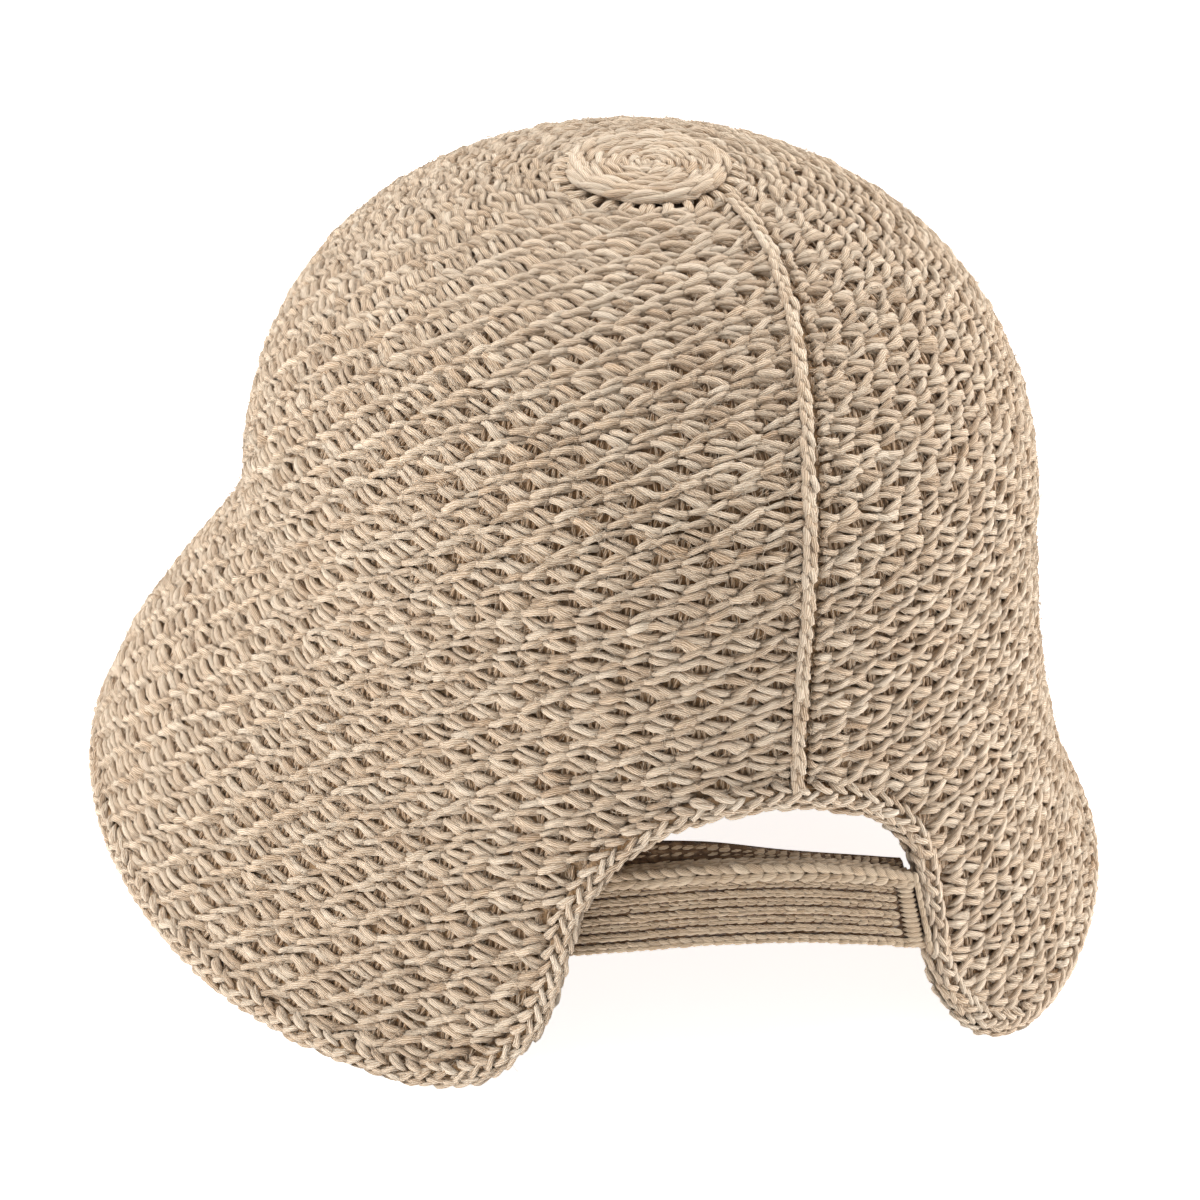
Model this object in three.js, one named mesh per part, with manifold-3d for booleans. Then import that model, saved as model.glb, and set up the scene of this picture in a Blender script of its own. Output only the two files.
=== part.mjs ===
// A crocheted bucket hat with an arched opening at the back for a ponytail.
// Units are millimetres, +Z is up and the hat rests on its hem at Z = 0.
// +Y is the back of the hat, with the arch and the strap; +X is the wearer's left.
// A place on the fabric is an azimuth in degrees, 0 at the back and growing towards
// the wearer's left, and a length along the fabric from the middle of the crown.

import * as THREE from 'three';
import Module from 'manifold-3d';
import { mergeVertices } from 'three/addons/utils/BufferGeometryUtils.js';

const WALL = 3.2;                 // thickness of the crocheted fabric
const GAP = 0.3;                  // clearance between two pieces that touch

const CROWN_HALF_WIDTH = 92;      // outer, at the widest round
const CROWN_HALF_LENGTH = 101;
const CROWN_RISE = 82;            // from the widest round to the crown's top
const CROWN_ROUNDNESS = 2.22;     // 2 is an ellipse, more is boxier
const CROWN_TOP = new THREE.Vector3(-10.2, 0, 173);   // the brim is wider on the left than on the right
const CROWN_LEAN = THREE.MathUtils.degToRad(9);   // the crown leans forward over the brim
const START_BEHIND = 6;           // the first round lies this far behind the crown's top
const CROWN_LENGTH = 162;         // fabric length from the start to the last crown round

const HEM_CENTRE = new THREE.Vector3(CROWN_TOP.x, 27, -0.4);

// The hem, a row for each section. reach is the distance from HEM_CENTRE, lift the height
// above the surface it rests on and flare the brim's angle at the hem, from vertical.
// fall and sweep are the shares of the brim's chord over which it leaves the crown and
// meets the hem.
const HEM = [
  { azimuth: -180, reach: 152, lift: 0.9, flare: 58, fall: 0.25, sweep: 0.35 },
  { azimuth: -150, reach: 140, lift: 0.9, flare: 50, fall: 0.28, sweep: 0.35 },
  { azimuth: -120, reach: 118, lift: 7.0, flare: 36, fall: 0.36, sweep: 0.35 },
  { azimuth: -96, reach: 107, lift: 12.0, flare: 28, fall: 0.45, sweep: 0.30 },
  { azimuth: -68, reach: 110, lift: 7.0, flare: 24, fall: 0.50, sweep: 0.25 },
  { azimuth: -41, reach: 112, lift: 0.0, flare: 12, fall: 0.50, sweep: 0.30 },
  { azimuth: 0, reach: 108, lift: 0.0, flare: 5, fall: 0.50, sweep: 0.30 },
  { azimuth: 45, reach: 110, lift: 0.0, flare: 10, fall: 0.45, sweep: 0.30 },
  { azimuth: 70, reach: 118, lift: 2.5, flare: 15, fall: 0.35, sweep: 0.35 },
  { azimuth: 96, reach: 127, lift: 8.0, flare: 11, fall: 0.21, sweep: 0.42 },
  { azimuth: 122, reach: 136, lift: 11.0, flare: 10, fall: 0.16, sweep: 0.48 },
  { azimuth: 150, reach: 146, lift: 2.5, flare: 42, fall: 0.19, sweep: 0.38 },
];

// The arch, from the left lobe over the top to the right lobe. height is the length
// along the fabric from the line that the hem would have without the arch.
const ARCH = [
  { azimuth: 45, height: 0 },
  { azimuth: 37, height: 4.5 },
  { azimuth: 30.5, height: 16 },
  { azimuth: 26.5, height: 33 },
  { azimuth: 24, height: 51 },
  { azimuth: 18, height: 65.5 },
  { azimuth: 8, height: 74.5 },
  { azimuth: -4, height: 75.5 },
  { azimuth: -14, height: 69.5 },
  { azimuth: -19.8, height: 59 },
  { azimuth: -21.6, height: 43 },
  { azimuth: -22.2, height: 27 },
  { azimuth: -26, height: 13 },
  { azimuth: -31, height: 4.5 },
  { azimuth: -37, height: 0 },
];

const EDGING_WIDTH = 6.2;         // across the crocheted border
const EDGING_THICKNESS = 4.4;

const STRAP_HEIGHT = 19.2;        // the ribbed outer leaf, with its rolled edges
const STRAP_THICKNESS = 5;        // both leaves
const STRAP_RIBS = 6;
const STRAP_RIB_PITCH = 2.05;
const STRAP_LEFT_END = 32;        // azimuth, behind the left lobe
const STRAP_RIGHT_END = { top: -19.2, bottom: -21.2 };   // azimuths, against the border
const STRAP_BEHIND = 4.6;         // keeps the strap clear of the border's inside

// The strap along its lower edge. height is measured as the arch's is, depth is the depth of
// the strap's face below the outside of the fabric, and leaf is the height of the plain inner
// leaf, which stands above the ribbed outer one.
const STRAP = [
  { azimuth: STRAP_LEFT_END, height: 36, depth: STRAP_BEHIND, leaf: 25 },
  { azimuth: 20, height: 40.6, depth: STRAP_BEHIND, leaf: 25.5 },
  { azimuth: 8, height: 42.9, depth: 4.2, leaf: 24 },
  { azimuth: -4, height: 41.8, depth: 3.0, leaf: 21.5 },
  { azimuth: -14, height: 38.2, depth: 1.4, leaf: 21.5 },
  { azimuth: STRAP_RIGHT_END.bottom, height: 34, depth: 0.5, leaf: 22.5 },
];

const DISC_RADIUS = 18.5;         // the raised round in the middle of the crown
const DISC_THICKNESS = 1.6;
const DISC_RIM = 1.4;             // how much further its rolled rim stands up

const COLUMNS = 52;               // sections round the crown, and round the plain brim
const CROWN_ROWS = 13;
const BRIM_ROWS = 8;
const ARCH_STEPS = 38;            // sections along the arch
const EDGING_SIDES = 8;
const STRAP_STEPS = 20;

const BEIGE = { color: 0xc8b69f, roughness: 0.95, metalness: 0 };
const BORDER_BEIGE = { color: 0xcbb9a3, roughness: 0.95, metalness: 0 };
const STRAP_BEIGE = { color: 0xbba892, roughness: 0.95, metalness: 0 };
const DISC_BEIGE = { color: 0xd2c1ac, roughness: 0.95, metalness: 0 };

const radians = THREE.MathUtils.degToRad;
const wrap = (azimuth) => THREE.MathUtils.euclideanModulo(azimuth + 180, 360) - 180;

// A smooth closed curve through one column of the hem table.
function hemValue(column, azimuth) {
  const a = wrap(azimuth);
  const count = HEM.length;
  let row = count - 1;
  while (HEM[row].azimuth > a) row -= 1;
  const knot = (i) => {
    const turns = Math.floor(i / count);
    const entry = HEM[i - turns * count];
    return { at: entry.azimuth + 360 * turns, value: entry[column] };
  };
  const [before, start, end, after] = [-1, 0, 1, 2].map((step) => knot(row + step));
  const slope = (p, q) => (q.value - p.value) / (q.at - p.at);
  const blend = (p, q, r) => (slope(p, q) * (r.at - q.at) + slope(q, r) * (q.at - p.at)) / (r.at - p.at);
  const span = end.at - start.at;
  const u = (a - start.at) / span;
  const rise = blend(before, start, end) * span;
  const fall = blend(start, end, after) * span;
  return (2 * u ** 3 - 3 * u ** 2 + 1) * start.value + (u ** 3 - 2 * u ** 2 + u) * rise
    + (3 * u ** 2 - 2 * u ** 3) * end.value + (u ** 3 - u ** 2) * fall;
}

const leanForward = (v) => v.applyAxisAngle(new THREE.Vector3(1, 0, 0), CROWN_LEAN);

// A point of the crown: share is 0 at the start of the first round and 1 at the widest one.
function crownPoint(azimuth, share) {
  const a = radians(azimuth);
  const radius = 1 / Math.hypot(Math.sin(a) / CROWN_HALF_WIDTH, Math.cos(a) / CROWN_HALF_LENGTH);
  const x = share * radius * Math.sin(a);
  const y = share * radius * Math.cos(a) + START_BEHIND * (1 - share) ** 2;
  const out = Math.min(1, Math.hypot(x / CROWN_HALF_WIDTH, y / CROWN_HALF_LENGTH));
  const fall = CROWN_RISE * (1 - (1 - out ** CROWN_ROUNDNESS) ** (1 / CROWN_ROUNDNESS));
  return leanForward(new THREE.Vector3(x, y, -fall)).add(CROWN_TOP);
}

// The outside of the fabric along one azimuth, from the crown's middle to the uncut hem.
const meridians = new Map();
function meridian(azimuth) {
  if (meridians.has(azimuth)) return meridians.get(azimuth);
  const value = (column) => hemValue(column, azimuth);
  const a = radians(azimuth);
  const away = new THREE.Vector3(Math.sin(a), Math.cos(a), 0);
  const points = [];
  for (let i = 0; i <= 60; i += 1) {
    points.push(crownPoint(azimuth, Math.sin((Math.PI / 2) * (i / 60)) ** (2 / CROWN_ROUNDNESS)));
  }
  const widest = points.at(-1);
  const hem = away.clone().multiplyScalar(value('reach')).add(HEM_CENTRE);
  hem.z += value('lift');
  const chord = widest.distanceTo(hem);
  const flare = radians(value('flare'));
  const outward = away.clone().multiplyScalar(Math.sin(flare)).setZ(-Math.cos(flare));
  const down = leanForward(new THREE.Vector3(0, 0, -1));
  const brim = new THREE.CubicBezierCurve3(
    widest,
    widest.clone().addScaledVector(down, value('fall') * chord),
    hem.clone().addScaledVector(outward, -value('sweep') * chord),
    hem,
  );
  points.push(...brim.getPoints(50).slice(1));
  const lengths = [0];
  points.slice(1).forEach((point, i) => lengths.push(lengths[i] + point.distanceTo(points[i])));
  const line = { points, lengths, total: lengths.at(-1) };
  meridians.set(azimuth, line);
  return line;
}

// The point at a length from the crown's middle along one azimuth.
function outside(azimuth, length) {
  const { points, lengths } = meridian(azimuth);
  let i = 1;
  while (i < lengths.length - 1 && lengths[i] < length) i += 1;
  const share = (length - lengths[i - 1]) / (lengths[i] - lengths[i - 1]);
  return points[i - 1].clone().lerp(points[i], share);
}

// The directions at that place: round the hat, down the fabric and out of it.
function directions(azimuth, length) {
  const round = outside(azimuth + 0.4, length).sub(outside(azimuth - 0.4, length)).normalize();
  const down = outside(azimuth, length + 1).sub(outside(azimuth, length - 1)).normalize();
  const out = new THREE.Vector3().crossVectors(round, down).normalize();
  return { round, down, out };
}

// A place in the fabric, at a depth below its outside.
function inFabric(azimuth, length, depth) {
  const { out } = directions(azimuth, length);
  return outside(azimuth, length).addScaledVector(out, -depth);
}

// The rim of the fabric: the hem and the arch, as one closed list of places. height is
// measured as the arch's is.
function rimPlaces() {
  const curve = new THREE.CatmullRomCurve3(
    ARCH.map((row) => new THREE.Vector3(row.azimuth, row.height, 0)), false, 'centripetal',
  );
  const arch = curve.getSpacedPoints(ARCH_STEPS).map((p) => ({ azimuth: p.x, height: p.y }));
  const first = arch[0].azimuth + 360;
  const last = arch.at(-1).azimuth;
  const plainSteps = Math.round(COLUMNS * (1 - (ARCH[0].azimuth - last) / 360));
  const plain = [];
  for (let i = 1; i < plainSteps; i += 1) {
    plain.push({ azimuth: last - ((360 - (first - 360 - last)) * i) / plainSteps, height: 0 });
  }
  return [...arch, ...plain];
}

// The same rim moved into the fabric by a distance, for the line that the border is worked on.
function rimMovedIn(distance) {
  const rim = rimPlaces();
  return rim.map((place, i) => {
    const next = rim[(i + 1) % rim.length];
    const before = rim[(i - 1 + rim.length) % rim.length];
    const { points } = meridian(place.azimuth);
    const radius = points.at(-1).distanceTo(HEM_CENTRE);
    const along = radians(wrap(next.azimuth - before.azimuth)) * radius;
    const up = next.height - before.height;
    const size = Math.hypot(along, up);
    return {
      azimuth: place.azimuth + THREE.MathUtils.radToDeg((distance * up) / size / radius),
      height: place.height - (distance * along) / size,
    };
  });
}

// A closed solid between rings of points. Each ring runs the same way round, and the last
// ring joins the first one unless the ends are closed by a point or by flat caps.
function ringSolid(rings, ends) {
  const count = rings[0].length;
  const points = rings.flat();
  const faces = [];
  const lastRing = ends === 'loop' ? rings.length : rings.length - 1;
  for (let r = 0; r < lastRing; r += 1) {
    const [a, b] = [r * count, ((r + 1) % rings.length) * count];
    for (let i = 0; i < count; i += 1) {
      const j = (i + 1) % count;
      faces.push([a + i, b + j, a + j], [a + i, b + i, b + j]);
    }
  }
  if (ends !== 'loop') {
    ends.forEach((point, side) => {
      const ring = side === 0 ? 0 : (rings.length - 1) * count;
      points.push(point);
      for (let i = 0; i < count; i += 1) {
        const j = (i + 1) % count;
        const pair = side === 0 ? [ring + i, ring + j] : [ring + j, ring + i];
        faces.push([...pair, points.length - 1]);
      }
    });
  }
  const geometry = new THREE.BufferGeometry().setFromPoints(points);
  geometry.setIndex(faces.flat());
  geometry.computeVertexNormals();
  return geometry;
}

// The crown: a dome of even thickness, open below, down to its last round.
function crownGeometry() {
  const columns = Array.from({ length: COLUMNS }, (_, i) => (-360 * i) / COLUMNS);
  const rows = Array.from({ length: CROWN_ROWS }, (_, i) => (CROWN_LENGTH * (i + 1)) / CROWN_ROWS);
  const ring = (length, depth) => columns.map((azimuth) => inFabric(azimuth, length, depth));
  const outer = rows.map((length) => ring(length, 0));
  const inner = rows.map((length) => ring(length, WALL)).reverse();
  const middle = crownPoint(0, 0);
  const up = directions(0, 2).out;
  return ringSolid([...outer, ...inner], [middle, middle.clone().addScaledVector(up, -WALL)]);
}

// The brim: from the crown's last round to the line that the border is worked on.
function brimGeometry() {
  const rim = rimMovedIn(EDGING_WIDTH + 1.5 * GAP);
  const rows = Array.from({ length: BRIM_ROWS + 1 }, (_, i) => i / BRIM_ROWS);
  const ring = (share, depth) => rim.map(({ azimuth, height }) => {
    const start = CROWN_LENGTH + GAP;
    const end = meridian(azimuth).total - height;
    return inFabric(azimuth, start + share * (end - start), depth);
  });
  const outer = rows.map((share) => ring(share, 0));
  const inner = rows.map((share) => ring(share, WALL)).reverse();
  return ringSolid([...outer, ...inner], 'loop');
}

// The border: an oval tube along the rim, a little thicker than the fabric.
function edgingGeometry() {
  const centres = rimMovedIn(EDGING_WIDTH / 2).map(({ azimuth, height }) => {
    const length = meridian(azimuth).total - height;
    return { at: inFabric(azimuth, length, WALL / 2), out: directions(azimuth, length).out };
  });
  const rings = centres.map(({ at, out }, i) => {
    const next = centres[(i + 1) % centres.length].at;
    const before = centres[(i - 1 + centres.length) % centres.length].at;
    const along = next.clone().sub(before).normalize();
    const across = new THREE.Vector3().crossVectors(along, out).normalize();
    return Array.from({ length: EDGING_SIDES }, (_, k) => {
      const turn = (2 * Math.PI * (k + 0.5)) / EDGING_SIDES;
      const half = Math.cos(Math.PI / EDGING_SIDES);
      return at.clone()
        .addScaledVector(across, (EDGING_WIDTH / 2 / half) * Math.cos(turn))
        .addScaledVector(out, (EDGING_THICKNESS / 2 / half) * Math.sin(turn));
    });
  });
  return ringSolid(rings, 'loop');
}

// The strap's section: depth behind its face and height above its lower edge. A rolled
// lower edge, ribs, a rolled top edge, and the inner leaf that stands above it.
function strapSection(leaf) {
  const section = [{ depth: 1, height: 0 }, { depth: 0.1, height: 0.8 }, { depth: 0.1, height: 2.0 }];
  const firstRib = 3.9;
  for (let rib = 0; rib < STRAP_RIBS; rib += 1) {
    section.push({ depth: 0.9, height: firstRib + STRAP_RIB_PITCH * (rib - 0.5) });
    section.push({ depth: 0.2, height: firstRib + STRAP_RIB_PITCH * rib });
  }
  section.push(
    { depth: 0.8, height: STRAP_HEIGHT - 4 },
    { depth: -0.3, height: STRAP_HEIGHT - 2.6 },
    { depth: -0.1, height: STRAP_HEIGHT - 0.6 },
    { depth: 1.2, height: STRAP_HEIGHT },
    { depth: 2.6, height: STRAP_HEIGHT - 1 },
    { depth: 3.0, height: STRAP_HEIGHT - 0.2 },
    { depth: 3.2, height: leaf - 0.6 },
    { depth: 4.0, height: leaf },
    { depth: STRAP_THICKNESS, height: leaf - 0.8 },
    { depth: STRAP_THICKNESS, height: 1 },
    { depth: STRAP_THICKNESS - 1.2, height: 0 },
  );
  return section;
}

// The strap: from behind the left lobe across the arch to the border of the right lobe.
function strapGeometry() {
  const curve = (column) => new THREE.CatmullRomCurve3(
    STRAP.map((row) => new THREE.Vector3(row.azimuth, row[column], 0)),
  );
  const [heights, depths, leaves] = [curve('height'), curve('depth'), curve('leaf')];
  const place = (share, depth, height) => {
    const lower = heights.getPoint(share);
    const slant = (STRAP_RIGHT_END.top - STRAP_RIGHT_END.bottom) * share ** 4;
    const azimuth = lower.x + (slant * height) / STRAP_HEIGHT;
    const length = meridian(lower.x).total - lower.y - height;
    return inFabric(azimuth, length, depths.getPoint(share).y + depth);
  };
  const rings = Array.from({ length: STRAP_STEPS + 1 }, (_, i) => {
    const share = i / STRAP_STEPS;
    const section = strapSection(leaves.getPoint(share).y);
    return section.map(({ depth, height }) => place(share, depth, height));
  });
  const capDepth = 0.8 * STRAP_THICKNESS;
  const capHeight = 0.6 * STRAP_HEIGHT;
  return ringSolid(rings, [place(0, capDepth, capHeight), place(1, capDepth, capHeight)]);
}

// The raised round in the middle of the crown, with a rolled rim.
function discGeometry() {
  const sections = [
    { radius: 0.35, top: DISC_THICKNESS },
    { radius: 0.72, top: DISC_THICKNESS },
    { radius: 0.86, top: DISC_THICKNESS + DISC_RIM },
    { radius: 0.96, top: DISC_THICKNESS + DISC_RIM * 0.8 },
    { radius: 1.0, top: DISC_THICKNESS * 0.6 },
    { radius: 0.97, top: GAP },
    { radius: 0.72, top: GAP },
    { radius: 0.35, top: GAP },
  ];
  const columns = Array.from({ length: 28 }, (_, i) => (-360 * i) / 28);
  const rings = sections.map(({ radius, top }) => columns.map(
    (azimuth) => inFabric(azimuth, radius * DISC_RADIUS, -top),
  ));
  const middle = crownPoint(0, 0);
  const up = directions(0, 2).out;
  const ends = [DISC_THICKNESS, GAP].map((top) => middle.clone().addScaledVector(up, top));
  return ringSolid(rings, ends);
}

// The same geometry with what lies below the resting surface cut off.
function cutAtFloor(geometry, wasm) {
  const toManifold = (source) => {
    const bare = source.clone();
    bare.deleteAttribute('normal');
    bare.deleteAttribute('uv');
    const merged = mergeVertices(bare, 1e-4);
    return new wasm.Manifold(new wasm.Mesh({
      numProp: 3,
      vertProperties: merged.getAttribute('position').array,
      triVerts: new Uint32Array(merged.getIndex().array),
    }));
  };
  const below = new THREE.BoxGeometry(500, 500, 50).translate(0, 0, -25);
  const mesh = toManifold(geometry).subtract(toManifold(below)).getMesh();
  const cut = new THREE.BufferGeometry();
  cut.setAttribute('position', new THREE.BufferAttribute(mesh.vertProperties, 3));
  cut.setIndex(new THREE.BufferAttribute(mesh.triVerts, 1));
  cut.computeVertexNormals();
  return cut;
}

function piece(name, geometry, finish) {
  const mesh = new THREE.Mesh(geometry, new THREE.MeshStandardMaterial(finish));
  mesh.name = name;
  return mesh;
}

const wasm = await Module();
wasm.setup();

const hat = new THREE.Group();
hat.add(piece('crown', crownGeometry(), BEIGE));
hat.add(piece('crown_disc', discGeometry(), DISC_BEIGE));
hat.add(piece('brim', brimGeometry(), BEIGE));
hat.add(piece('edging', cutAtFloor(edgingGeometry(), wasm), BORDER_BEIGE));
hat.add(piece('strap', strapGeometry(), STRAP_BEIGE));

export default hat;
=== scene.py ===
"""A crocheted bucket hat, seen from behind: every stitch is a strand of yarn laid on the
hat's surface. Sizes are millimetres until a mesh is made, and metres in Blender."""

import bpy
import numpy as np
from mathutils import Matrix, Vector


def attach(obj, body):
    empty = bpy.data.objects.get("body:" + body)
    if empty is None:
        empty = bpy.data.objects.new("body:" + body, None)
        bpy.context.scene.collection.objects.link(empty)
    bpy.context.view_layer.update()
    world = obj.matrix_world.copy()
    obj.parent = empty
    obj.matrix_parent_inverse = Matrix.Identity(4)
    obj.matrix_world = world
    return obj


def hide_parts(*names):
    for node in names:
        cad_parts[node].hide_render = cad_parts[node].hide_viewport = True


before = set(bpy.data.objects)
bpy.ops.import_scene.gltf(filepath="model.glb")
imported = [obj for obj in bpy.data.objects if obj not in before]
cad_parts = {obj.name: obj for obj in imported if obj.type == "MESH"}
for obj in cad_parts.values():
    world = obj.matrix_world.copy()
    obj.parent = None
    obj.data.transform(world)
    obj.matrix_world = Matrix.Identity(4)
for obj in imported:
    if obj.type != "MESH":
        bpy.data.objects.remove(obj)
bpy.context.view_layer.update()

MM = 0.001
RNG = np.random.default_rng(11)

# The hat's surface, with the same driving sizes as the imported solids. START_BEHIND is how far
# the crown's middle lies towards the back.
WALL = 3.2
CROWN_HALF_WIDTH, CROWN_HALF_LENGTH, CROWN_RISE, CROWN_ROUNDNESS = 92.0, 101.0, 82.0, 2.22
CROWN_TOP = np.array([-10.2, 0.0, 173.0])
CROWN_LEAN = np.radians(9.0)
START_BEHIND = 6.0
CROWN_LENGTH = 162.0
HEM_CENTRE = np.array([CROWN_TOP[0], 27.0, -0.4])
EDGING_WIDTH, EDGING_THICKNESS = 6.2, 4.4

# azimuth, reach, lift, flare, leave and sweep of each section of the hem: the last two are how
# far along the chord the skirt keeps the crown's direction and the flare's
HEM = np.array([
    [-180, 152, 0.9, 58, 0.25, 0.35],
    [-150, 140, 0.9, 50, 0.28, 0.35],
    [-120, 118, 7.0, 36, 0.36, 0.35],
    [-96, 107, 12.0, 28, 0.45, 0.30],
    [-68, 110, 7.0, 24, 0.50, 0.25],
    [-41, 112, 0.0, 12, 0.50, 0.30],
    [0, 108, 0.0, 5, 0.50, 0.30],
    [45, 110, 0.0, 10, 0.45, 0.30],
    [70, 118, 2.5, 15, 0.35, 0.35],
    [96, 127, 8.0, 11, 0.21, 0.42],
    [122, 136, 11.0, 10, 0.16, 0.48],
    [150, 146, 2.5, 42, 0.19, 0.38],
])

# azimuth and height of each point of the arch, from the left lobe to the right one
ARCH = np.array([
    [45, 0], [37, 4.5], [30.5, 16], [26.5, 33], [24, 51], [18, 65.5], [8, 74.5], [-4, 75.5],
    [-14, 69.5], [-19.8, 59], [-21.6, 43], [-22.2, 27], [-26, 13], [-31, 4.5], [-37, 0],
])

# azimuth, height of the lower edge, depth of the face and height of the inner leaf
STRAP = np.array([
    [32, 36, 4.6, 25], [20, 40.6, 4.6, 25.5], [8, 42.9, 4.2, 24],
    [-4, 41.8, 3.0, 21.5], [-14, 38.2, 1.4, 21.5], [-21.9, 33.5, 0.3, 22.5],
])
STRAP_HEIGHT = 19.2

# The strap's length, the share of it that has ribs, and the height of the inner leaf at which
# that leaf's rows stand as they are given.
STRAP_LENGTH = 96.0
RIB_END = 0.925
LEAF_BASE = 20.5

# The stitches: a round is one chain of loops, and every second stitch leaves a hole. YARN is
# half the thickness of a loop's leg, and each of the leg's two plies has PLY times that.
ROUND_PITCH = 4.05
STITCH_PAIR = 11.6
WAVE = 0.9
YARN = 1.24
PLY = 0.74
FIRST_ROUND = 22.5
FIRST_STITCH = 0.6

# A leg: the rings of points along it, half its length, how far it lies from the chain's line
# and how much nearer it comes towards one end, its depth and how much deeper its ends are.
LEG_RINGS = 6
LEG_HALF = 4.1
LEG_SPREAD, LEG_SLANT = 0.92, 0.16
LEG_DEPTH, LEG_DIP = 1.05, 1.25
ALONG_LEG = np.linspace(-1, 1, LEG_RINGS)[None]

# How far the middle and the ends of a leg may lie under the border, and how far a leg stays
# from the seam at the start and at the end of its round.
MIDDLE_UNDER, ENDS_UNDER = 1.4, 3.4
AFTER_SEAM, BEFORE_SEAM = 3.0, 2.1

# The bars deep in the holes: half their thickness, half their length, the way between two,
# # their depth and their tone, which is painted shade: they are darker because they lie deep
# # in the holes.
BAR, BAR_HALF, BAR_GAP = 0.55, 2.0, 1.4
BAR_DEPTH, BAR_PAINTED_SHADE = 1.95, -0.22

# Where the holes end and the closed inner layer begins, below the outside of the fabric.
HOLE_DEPTH = 2.15

# The seam's azimuth far down, how far it swings near the top, and over what length.
SEAM_END, SEAM_TURN, SEAM_REACH = -3.2, 60.0, 39.0

# The border: the places read along it, how wide one of its stitches is, how far on every
# second row starts, and for each row of stitches its place across the border, half a stitch's
# length, its slant and half its thickness.
BORDER_STATIONS = 420
BORDER_STITCH, BORDER_SHIFT = 4.3, 2.3
BORDER_ROWS = ((-1.7, 2.6, 1.3, 1.0), (0.3, 2.6, -1.35, 1.05), (1.5, 2.7, 0.8, 0.95),
               (2.6, 3.0, -0.4, 0.9))

# The rings of the raised round: the distance from its middle, the number of loops, their
# depth, half the length of a leg and half its thickness.
DISC_RINGS = ((1.6, 4, -0.7, 1.9, 1.1), (4.6, 6, -0.6, 3.2, 1.25), (7.9, 9, -0.5, 3.9, 1.25),
              (11.2, 11, -0.5, 4.6, 1.3), (14.4, 14, -0.8, 5.0, 1.35), (16.9, 17, -1.3, 5.2, 1.45))

# The rounds lie tilted on the hat: lower on the wearer's right than on the left.
ROUND_TILT = 11.0
TILT_FROM, TILT_TO = 25.0, 100.0

# The camera, placed so that a pixel of the 1200 x 1200 photograph is PIXEL at the crown's top.
CAMERA_AZIMUTH, CAMERA_ELEVATION = np.radians(16.5), np.radians(25.0)
CAMERA_DISTANCE, PIXEL = 1300.0, 0.2275
TOP_X, TOP_Y, FRAME = 640.0, 158.0, 1200.0
SENSOR = 36.0

# The studio, in metres: half the floor's width, and the height that the lights face.
FLOOR_HALF, AIM_HEIGHT = 4.0, 0.09


def hem_value(column, azimuth):
    """One column of HEM on a smooth closed curve: cubic pieces whose slope at each row is the
    mean of its neighbours' slopes, weighted by the other one's length."""
    at = np.concatenate([HEM[-2:, 0] - 360, HEM[:, 0], HEM[:2, 0] + 360])
    value = np.concatenate([HEM[-2:, column], HEM[:, column], HEM[:2, column]])
    span = np.diff(at)
    slope = np.diff(value) / span
    rise = np.zeros_like(value)
    rise[1:-1] = (slope[:-1] * span[1:] + slope[1:] * span[:-1]) / (span[1:] + span[:-1])
    wrapped = (azimuth + 180) % 360 - 180
    i = np.clip(np.searchsorted(at, wrapped, side="right") - 1, 0, len(span) - 1)
    u = (wrapped - at[i]) / span[i]
    return ((2 * u**3 - 3 * u**2 + 1) * value[i] + (u**3 - 2 * u**2 + u) * span[i] * rise[i]
            + (3 * u**2 - 2 * u**3) * value[i + 1] + (u**3 - u**2) * span[i] * rise[i + 1])


def lean(points):
    """Points turned forward about the X axis by the crown's lean."""
    c, s = np.cos(CROWN_LEAN), np.sin(CROWN_LEAN)
    x, y, z = np.moveaxis(points, -1, 0)
    return np.stack([x, c * y - s * z, s * y + c * z], -1)


def meridians(azimuth):
    """Lines from the crown's middle to the uncut hem: a superellipse dome down to its widest
    round, its middle moved back by an amount that fades with the square of the way out, then
    a cubic Bezier that leaves along the crown's axis and meets the hem at its flare. Returns
    the points of each line and their length along it."""
    turn = np.radians(azimuth)[:, None]
    radius = 1 / np.hypot(np.sin(turn) / CROWN_HALF_WIDTH, np.cos(turn) / CROWN_HALF_LENGTH)
    share = np.sin(np.linspace(0, np.pi / 2, 61)) ** (2 / CROWN_ROUNDNESS)
    x = share * radius * np.sin(turn)
    y = share * radius * np.cos(turn) + START_BEHIND * (1 - share) ** 2
    out = np.minimum(1, np.hypot(x / CROWN_HALF_WIDTH, y / CROWN_HALF_LENGTH))
    fall = CROWN_RISE * (1 - (1 - out**CROWN_ROUNDNESS) ** (1 / CROWN_ROUNDNESS))
    dome = lean(np.stack([x, y, -fall], -1)) + CROWN_TOP
    reach, lift, flare, leave, sweep = [hem_value(c, azimuth)[:, None] for c in range(1, 6)]
    flare = np.radians(flare)
    away = np.concatenate([np.sin(turn), np.cos(turn), 0 * turn], 1)
    hem = HEM_CENTRE + away * reach + lift * [0, 0, 1]
    widest = dome[:, -1]
    chord = np.linalg.norm(hem - widest, axis=1)[:, None]
    first = widest + leave * chord * lean(np.array([0.0, 0.0, -1.0]))
    second = hem - sweep * chord * (away * np.sin(flare) - np.cos(flare) * [0, 0, 1])
    t = np.linspace(0, 1, 51)[None, 1:, None]
    skirt = ((1 - t)**3 * widest[:, None] + 3 * (1 - t)**2 * t * first[:, None]
             + 3 * (1 - t) * t**2 * second[:, None] + t**3 * hem[:, None])
    points = np.concatenate([dome, skirt], 1)
    steps = np.linalg.norm(np.diff(points, axis=1), axis=2)
    return points, np.concatenate([0 * radius, np.cumsum(steps, 1)], 1)


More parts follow.
